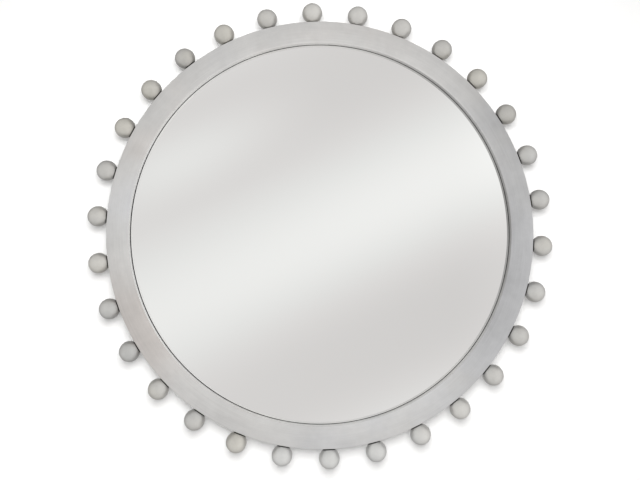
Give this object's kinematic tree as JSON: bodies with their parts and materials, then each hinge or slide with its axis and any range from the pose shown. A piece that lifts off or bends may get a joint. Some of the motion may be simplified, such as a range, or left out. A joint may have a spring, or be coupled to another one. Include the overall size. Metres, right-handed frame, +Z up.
{
  "type": "wall mirror",
  "caption": "Round wall mirror with a wide satin metal ring frame, a rim of evenly spaced balls, set-back glass and two swinging hanging rings behind.",
  "frame": {"origin": "centre of the frame's round rear edge, on the plane of the wall", "axes": "+Z up the wall, +Y into the wall, +X to the right as seen from the front; the glass faces -Y"},
  "size_m": [0.9118, 0.048, 0.913],
  "materials": {
    "satin_steel": "sheet steel with a satin silver plating, finely brushed round the ring",
    "silver_ball": "turned wood with a satin metallic silver coat",
    "mirror_glass": "clear polished 4 mm float glass, silvered on the back",
    "fibreboard": "bare medium density fibreboard",
    "foam_tape": "double sided grey foam tape",
    "zinc_hardware": "bright zinc plated steel"
  },
  "bodies": {
    "mirror": {"face_ring": "satin_steel", "outer_band": "satin_steel", "inner_band": "satin_steel", "frame_core": "fibreboard", "back_board": "fibreboard", "mirror_glass": "mirror_glass", "mounting_tape": "foam_tape", "board_screws": "zinc_hardware", "ball_screws": "zinc_hardware", "hanger_screws": "zinc_hardware", "left_hanger_strap": "zinc_hardware", "right_hanger_strap": "zinc_hardware", "ball_01": "silver_ball", "ball_02": "silver_ball", "ball_03": "silver_ball", "ball_04": "silver_ball", "ball_05": "silver_ball", "ball_06": "silver_ball", "ball_07": "silver_ball", "ball_08": "silver_ball", "ball_09": "silver_ball", "ball_10": "silver_ball", "ball_11": "silver_ball", "ball_12": "silver_ball", "ball_13": "silver_ball", "ball_14": "silver_ball", "ball_15": "silver_ball", "ball_16": "silver_ball", "ball_17": "silver_ball", "ball_18": "silver_ball", "ball_19": "silver_ball", "ball_20": "silver_ball", "ball_21": "silver_ball", "ball_22": "silver_ball", "ball_23": "silver_ball", "ball_24": "silver_ball", "ball_25": "silver_ball", "ball_26": "silver_ball", "ball_27": "silver_ball", "ball_28": "silver_ball", "ball_29": "silver_ball", "ball_30": "silver_ball"},
    "left_ring": {"left_ring": "zinc_hardware"},
    "right_ring": {"right_ring": "zinc_hardware"}
  },
  "joints": [
    {"name": "left_ring_hinge", "type": "hinge", "parent": "mirror", "child": "left_ring", "pos_m": [-0.25, -0.0042, 0.19], "axis": [1, 0, 0], "range_deg": [0, 180]},
    {"name": "right_ring_hinge", "type": "hinge", "parent": "mirror", "child": "right_ring", "pos_m": [0.25, -0.0042, 0.19], "axis": [1, 0, 0], "range_deg": [0, 180]}
  ]
}
